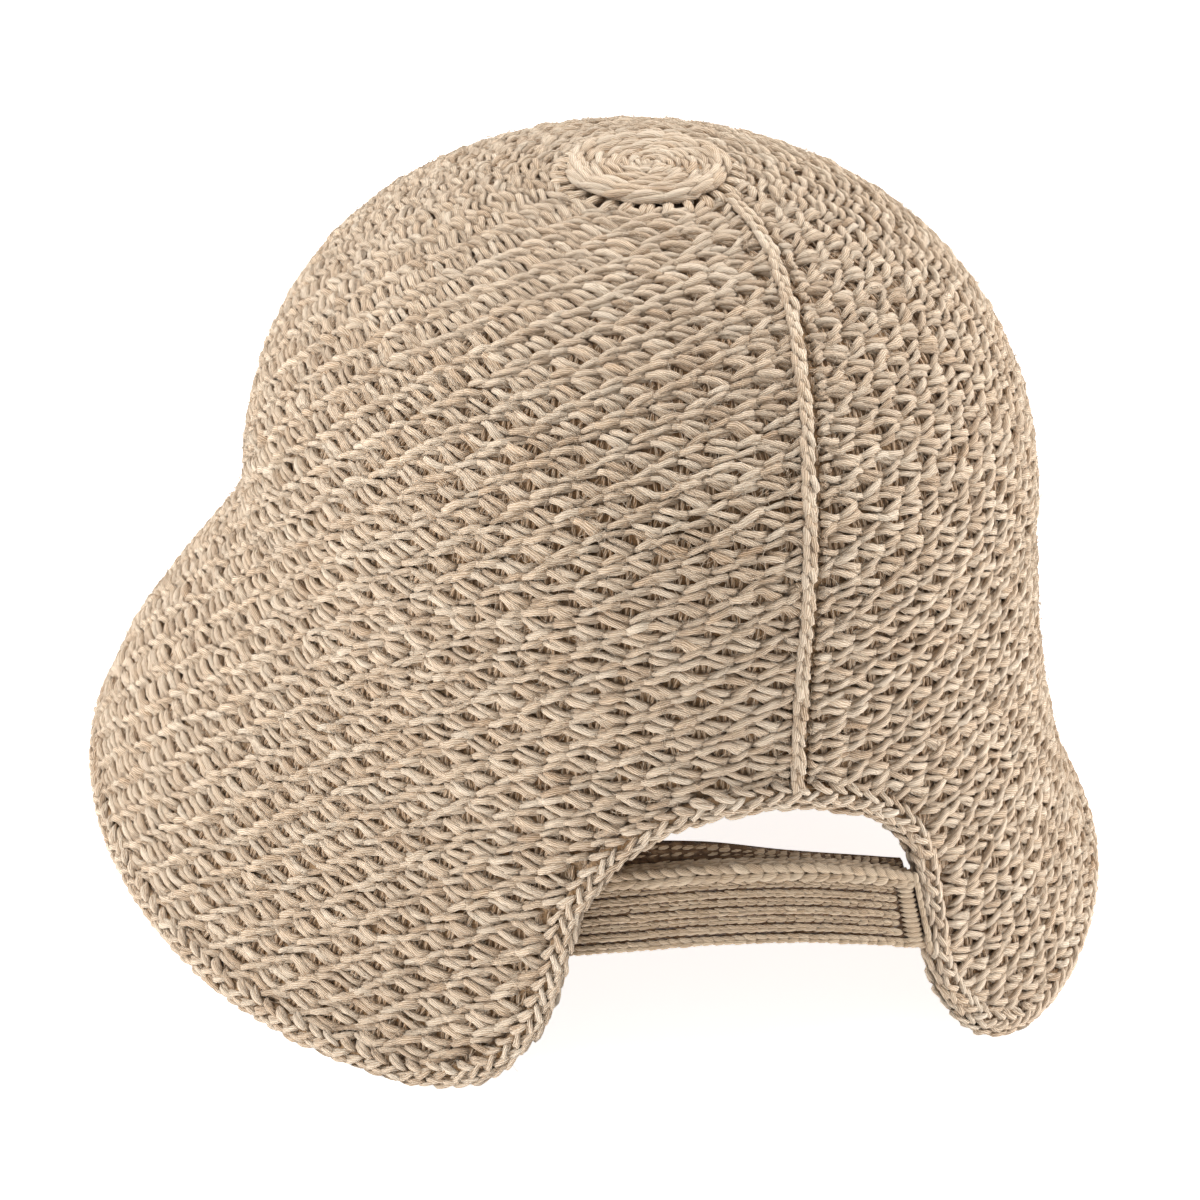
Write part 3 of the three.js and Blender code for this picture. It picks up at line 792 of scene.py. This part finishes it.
def strap_legs(height, depth, count, half, slant, radius, tone, end=1.0, leaf_share=0.0):
    """One row of legs along the strap, from its left end to a share of its length. The row has
    a height over the lower edge, a depth behind the face and a number of legs, and each leg
    half its length, its slant, half its thickness and its tone. A row of the inner leaf
    follows that leaf's height by a share."""
    rings = 5
    u = np.linspace(-1, 1, rings)[None]
    middle = ((np.arange(count) + 0.5) / count * end)[:, None]
    place = middle + u * half / STRAP_LENGTH + jitter(0.1 / STRAP_LENGTH, count)
    place = np.clip(place, 0, 1)
    rise = leaf_share * (leaf_top(place) - LEAF_BASE)
    up = height + rise + slant * u + jitter(0.07, count)
    inward = depth + 0.4 * np.abs(u) ** 2 + jitter(0.05, count)
    path, out = strap_place(place, inward, up)
    thick = thickness(radius, count, 0.07, rings)
    return strands(path, out, thick, tones(count, tone))


def strap():
    """The strap: a knitted band of two leaves. The outer leaf has ribs of small loops along
    it, between a rolled chain below and a thick plaited roll above; the inner leaf stands up
    behind it."""
    parts = []
    for rib in range(6):
        height = 3.6 + 2.1 * rib
        sag = 0.35 if rib % 2 else 0.0
        for side in (-1, 1):
            parts.append(strap_legs(height + side * 0.38, 0.6 + sag, 40, 1.9, -0.3 * side, 0.48,
                                    -0.02, RIB_END))
    # the chain below, the roll above and the row behind the roll
    for side in (-1, 1):
        parts.append(strap_legs(1.0 + side * 0.5, 0.6, 40, 1.9, -0.3 * side, 0.62, 0.02))
        parts.append(strap_legs(17.2 + side * 1.0, 0.1, 30, 2.6, -0.8 * side, 1.05, 0.05))
        parts.append(strap_legs(18.9 + side * 0.2, 1.9 + 0.5 * side, 30, 2.4, 0.5, 0.85, 0.0))
    # the top of the inner leaf, then its back; both get a darker tone, painted shade, as they
    #     # stand in the shade behind the roll and inside the hat
    for share in (0.1, 0.5, 0.9):
        parts.append(strap_legs(19.0, 3.9, 34, 2.0, 0.4, 0.85, -0.12, leaf_share=share))
    for step in range(8):
        parts.append(strap_legs(2.2 + 2.4 * step, 5.0, 34, 2.1, 0.3, 0.7, -0.2))
    dress(joined("strap_ribs", parts), STRAP_WOOL, "strap_yarn", "strap")


def whipped_end():
    """The strap's right end, turned and whipped: stitches that lie along the strap, and a row
    of thicker ones up its edge. Each set has its number of stitches, the height of the last
    one, its share of the way along and reach, depth, dip, slant, thickness and tone."""
    parts = []
    for count, top, at, reach, depth, dip, slant, radius, tone in (
            (15, 18.2, 0.963, 0.030, 0.15, 0.5, 0.25, 0.66, 0.02),
            (9, 18.0, 0.999, 0.0, -0.35, 0.4, 1.5, 0.8, 0.08)):
        height = np.linspace(1.0, top, count)[:, None]
        place = at + reach * ALONG_LEG + 0 * height
        path, out = strap_place(place, depth + dip * ALONG_LEG**2, height + slant * ALONG_LEG)
        thick = radius * taper(LEG_RINGS)[None] * np.ones((count, 1))
        parts.append(strands(path, out, thick, tones(count, tone)))
    dress(joined("strap_whipped_end", parts), STRAP_WOOL, "strap_yarn")


def disc():
    """The crown's raised round: rings of loops worked round its middle and a thick rolled
    rim of long loops that stands over the next round."""
    azimuth = np.linspace(0, 360, 72, endpoint=False)[None]
    radius = np.array([3, 8, 13, 16.2, 17.6, 17.8, 16.5, 12, 6, 3])[:, None]
    depth = np.array([-0.5, -0.5, -0.6, -0.9, -0.6, 0.3, 0.5, 0.5, 0.5, 0.5])[:, None]
    rings = fabric(azimuth + 0 * radius, radius + 0 * azimuth, depth)
    caps = [CROWN_MIDDLE + 0.5 * CROWN_UP, CROWN_MIDDLE - 0.5 * CROWN_UP]
    core = shell("disc_core", rings[:, ::-1], False, caps)
    dress(core, SHADED_INSIDE, "crochet_yarn", "crown_disc")
    parts = []
    for ring, (reach, count, sunk, half, radius) in enumerate(DISC_RINGS):
        for side in (-0.55, 0.55):
            middle = (np.arange(count)[:, None] + 0.5 * (ring % 2) + 0.25 * side) / count * 360
            turn = middle + np.degrees(ALONG_LEG * half / reach) + jitter(3, count)
            down = reach + side * 1.2 + 0.6 * ALONG_LEG * np.sign(side) + jitter(0.3, count)
            depth = sunk + 0.8 * np.abs(ALONG_LEG) ** 2 + jitter(0.15, count)
            thick = thickness(radius, count)
            parts.extend(plied(fabric(turn, down, depth), normal(turn, down), thick,
                               tones(count, 0.02)))
    # the posts that carry the rim, leaning to and fro by turns
    posts = 60
    azimuth = (np.arange(posts)[:, None] + jitter(0.12, posts)) / posts * 360
    azimuth = azimuth + np.where(np.arange(posts) % 2, -2.2, 2.2)[:, None] + 1.5 * ALONG_LEG
    down = 20.0 + 3.2 * ALONG_LEG + 0 * azimuth
    path = fabric(azimuth, down, 0.5 + 0.8 * ALONG_LEG**2)
    thick = 1.05 * taper(LEG_RINGS)[None] * np.ones((posts, 1))
    parts.append(strands(path, normal(azimuth, down), thick, tones(posts)))
    dress(joined("crown_disc_loops", parts), WOOL, "crochet_yarn", "crown_disc")


def seam():
    """The seam up the back: a plait of slanting loops on the left of the join. A loop's angle
    from the join is its distance from it over the hat's radius there."""
    count = 46
    length = np.linspace(24, 170, count)[:, None]
    parts = []
    for side, away in ((-1, 0.7), (1, 2.2)):
        down = length + 2.6 * ALONG_LEG + 0.8 * side
        join = seam_azimuth(down)
        radius = np.linalg.norm(read(SURFACE, join, down)[..., :2] - CROWN_TOP[:2], axis=-1)
        distance = away + 0.45 * side * ALONG_LEG + jitter(0.2, count)
        azimuth = join + np.degrees(distance / np.maximum(radius, 14))
        depth = 0.1 + 0.9 * np.abs(ALONG_LEG) ** 2
        thick = thickness(1.25, count)
        parts.extend(plied(fabric(azimuth, down, depth), normal(azimuth, down), thick,
                           tones(count, 0.03)))
    dress(joined("back_seam", parts), WOOL, "crochet_yarn")


def fuzz(name, count):
    """Loose fibres: fine curved hairs, 1.5 to 4.5 mm long, that stand out of the yarn. Each
    runs along the fabric, rises by a part of a sine and curls by the square of its length.
    Fewer are kept near the crown's middle, where an angle spans less fabric."""
    azimuth = RNG.uniform(-180, 180, count)
    length = RNG.uniform(4, 250, count)
    even = RNG.uniform(0, 1, count) < np.clip(length / 90, 0.05, 1)
    keep = in_fabric(azimuth, length, 1.0) & even
    azimuth, length = azimuth[keep], length[keep]
    root, out = fabric(azimuth, length, 0.3), normal(azimuth, length)
    lie = np.cross(out, RNG.normal(0, 1, out.shape))
    lie /= np.linalg.norm(lie, axis=1)[:, None]
    bend = np.cross(lie, out)
    size = RNG.uniform(1.5, 4.5, len(root))[:, None, None]
    u = np.linspace(0, 1, 4)[None, :, None]
    curl = RNG.normal(0, 0.5, len(root))[:, None, None]
    rise = RNG.uniform(0.1, 0.55, len(root))[:, None, None]
    path = root[:, None] + size * (u * lie[:, None] + rise * np.sin(np.pi * 0.6 * u) * out[:, None]
                                   + curl * u**2 * bend[:, None])
    thin = 0.07 * (1 - 0.6 * u[..., 0]) + np.zeros((len(root), 1))
    hairs = strands(path, out[:, None] + 0 * path, thin, tones(len(root), 0.1), sides=3)
    dress(joined(name, [hairs]), WOOL, "crochet_yarn")


def add_camera():
    """The camera at the photograph's angle: set in the crown's own frame, then leaned with it."""
    b, e = CAMERA_AZIMUTH, CAMERA_ELEVATION
    toward = lean(np.array([np.sin(b) * np.cos(e), np.cos(b) * np.cos(e), np.sin(e)]))
    right = lean(np.array([-np.cos(b), np.sin(b), 0.0]))
    up = np.cross(toward, right)
    place = (CROWN_TOP + toward * CAMERA_DISTANCE - right * (TOP_X - FRAME / 2) * PIXEL
             - up * (FRAME / 2 - TOP_Y) * PIXEL) * MM
    data = bpy.data.cameras.new("camera")
    data.sensor_width = SENSOR
    data.lens = SENSOR * CAMERA_DISTANCE / PIXEL / FRAME
    data.clip_end = 20
    camera = bpy.data.objects.new("camera", data)
    turn = Matrix((right, up, toward)).transposed().to_4x4()
    camera.matrix_world = Matrix.Translation(Vector(place)) @ turn
    bpy.context.scene.collection.objects.link(camera)
    bpy.context.scene.camera = camera


def add_light(name, place, size, power):
    """A round soft box that faces the middle of the hat."""
    data = bpy.data.lights.new(name, "AREA")
    data.shape = "DISK"
    data.size = size
    data.energy = power
    lamp = bpy.data.objects.new(name, data)
    aim = Vector((0, 0, AIM_HEIGHT)) - Vector(place)
    turn = aim.to_track_quat("-Z", "Y").to_matrix().to_4x4()
    lamp.matrix_world = Matrix.Translation(Vector(place)) @ turn
    bpy.context.scene.collection.objects.link(lamp)


def add_studio():
    """A pale, faintly lit floor and soft boxes on the left, on the right and above, as in the
    photograph, where the side that faces the camera is the darkest."""
    corners = np.array([[-1, -1, 0], [1, -1, 0], [1, 1, 0], [-1, 1, 0]]) * FLOOR_HALF / MM
    floor = make_mesh("floor", corners, [np.array([[0, 1, 2, 3]])])
    paint = bpy.data.materials.new("matt_studio_paper")
    paint.use_nodes = True
    shader = paint.node_tree.nodes["Principled BSDF"]
    grain = node(paint.node_tree, "ShaderNodeTexNoise", {"Scale": 6.0})
    ramp = node(paint.node_tree, "ShaderNodeValToRGB", links={0: grain.outputs["Fac"]})
    ramp.color_ramp.elements[0].color = srgb("#f4f4f4")
    ramp.color_ramp.elements[1].color = srgb("#f8f8f8")
    paint.node_tree.links.new(ramp.outputs[0], shader.inputs["Base Color"])
    shader.inputs["Roughness"].default_value = 0.9
    shader.inputs["Emission Color"].default_value = (1, 1, 1, 1)
    shader.inputs["Emission Strength"].default_value = 0.84
    floor.data.materials.append(paint)
    world = bpy.data.worlds.new("studio")
    world.use_nodes = True
    world.node_tree.nodes["Background"].inputs[0].default_value = (1, 1, 1, 1)
    world.node_tree.nodes["Background"].inputs[1].default_value = 0.45
    bpy.context.scene.world = world
    add_light("left_box", (1.6, -0.1, 0.7), 1.1, 26)
    add_light("right_box", (-1.6, 0.1, 0.7), 1.1, 34)
    add_light("top_box", (0.0, -0.5, 1.7), 1.3, 25)
    bpy.context.scene.view_settings.view_transform = "Standard"


add_camera()
add_studio()
crown_backing()
brim_backing()
# The rounds come in pieces of eight, so that no piece has too many triangles.
ROUNDS_IN_CROWN = int((CROWN_LENGTH - FIRST_ROUND) / ROUND_PITCH) + 1
ROUNDS = int((TOTALS.max() - FIRST_ROUND) / ROUND_PITCH)
PIECE_STARTS = [0, 8, 16, 24, 32, 40, 48]
for first, last in zip(PIECE_STARTS, PIECE_STARTS[1:] + [ROUNDS]):
    carried = "crown" if first < ROUNDS_IN_CROWN else "brim"
    dress(crochet(f"{carried}_rounds_{first + 1}_to_{last}", first, last), WOOL, "crochet_yarn", carried)
disc()
seam()
border()
strap_core()
strap()
whipped_end()
fuzz("loose_fibres_long", 11000)
fuzz("loose_fibres_short", 11000)

bpy.context.view_layer.update()
